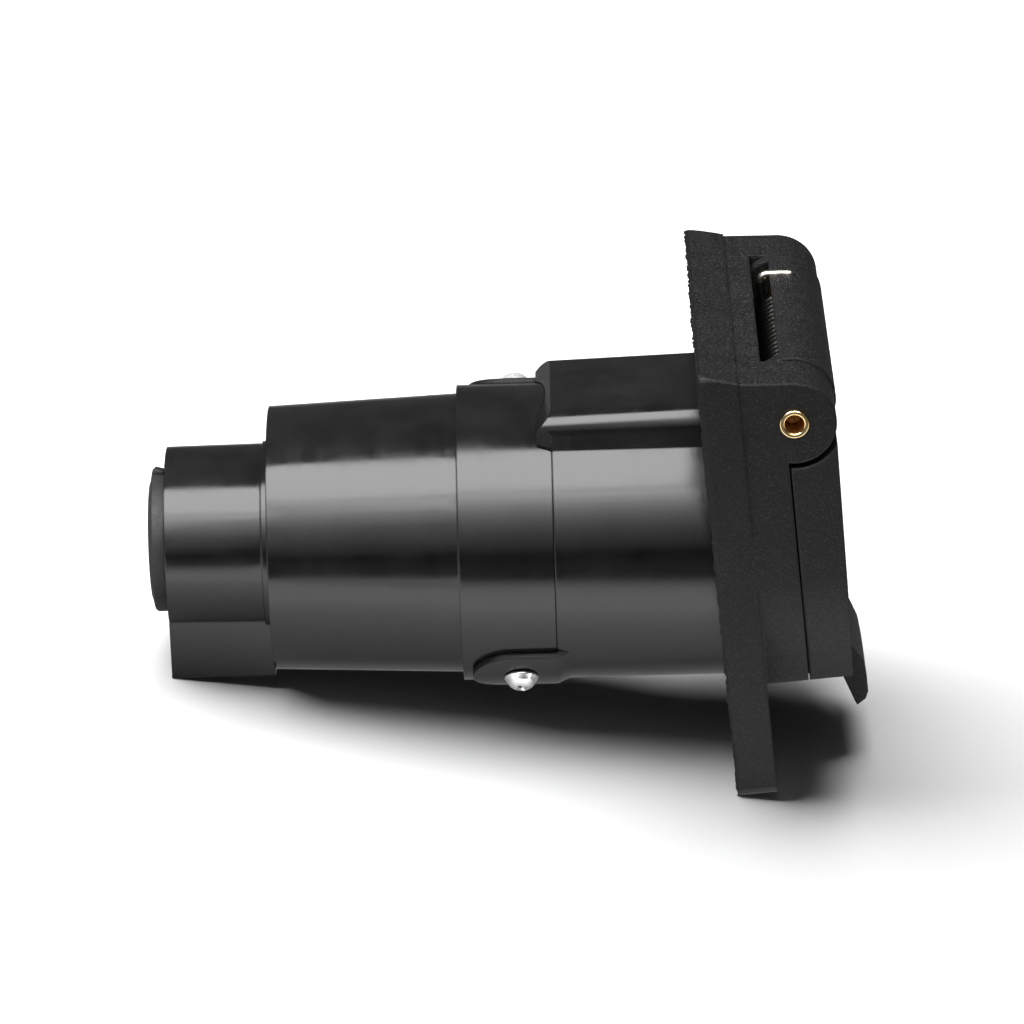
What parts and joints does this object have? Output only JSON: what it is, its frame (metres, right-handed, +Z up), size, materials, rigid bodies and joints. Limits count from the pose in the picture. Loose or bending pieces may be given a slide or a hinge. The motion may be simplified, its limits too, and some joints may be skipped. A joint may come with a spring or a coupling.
{
  "type": "trailer wiring connector",
  "caption": "Flanged round socket for trailer wiring, with flat blade contacts, a sprung hinged cover and a screwed-on wiring cover behind.",
  "frame": {"origin": "centre of the four-hole bolt pattern on the flange's rear (mounting) face, where the barrel axis crosses it", "axes": "+X out of the socket's mouth, square to the flange; +Z up towards the hinge; Y along the hinge pin"},
  "size_m": [0.1291, 0.0794, 0.0813],
  "materials": {
    "textured_plastic": "fine spark texture",
    "gloss_plastic": "satin gloss with fine turning marks",
    "insert_plastic": "moulded, semi-matt",
    "contact_brass": "bright rolled strip",
    "rivet_brass": "polished",
    "plated_steel": "zinc plated",
    "bright_chrome": "bright plated",
    "spring_steel": "plated wire",
    "seal_rubber": "matt",
    "grommet_rubber": "semi-matt"
  },
  "bodies": {
    "socket": {"housing": "textured_plastic", "contact_carrier": "insert_plastic", "blade_contact_1": "contact_brass", "blade_contact_2": "contact_brass", "blade_contact_3": "contact_brass", "blade_contact_4": "contact_brass", "blade_contact_5": "contact_brass", "blade_contact_6": "contact_brass", "centre_pin_contact": "contact_brass", "terminal_screws": "plated_steel", "rear_gasket": "seal_rubber", "rear_cover": "gloss_plastic", "rear_cover_screws": "bright_chrome", "cable_grommet": "grommet_rubber", "cable_clamp": "insert_plastic", "clamp_screws": "plated_steel", "hinge_pin": "rivet_brass", "torsion_spring": "spring_steel"},
    "lid": {"cover": "textured_plastic", "cover_seal": "seal_rubber", "spring_cover_leg": "spring_steel"}
  },
  "joints": [
    {"name": "cover_hinge", "type": "hinge", "parent": "socket", "child": "lid", "pos_m": [0.016, 0, 0.0337], "axis": [0, -1, 0], "range_deg": [0, 105], "stiffness_Nm_per_rad": 0.06, "springref_deg": -40.11}
  ]
}
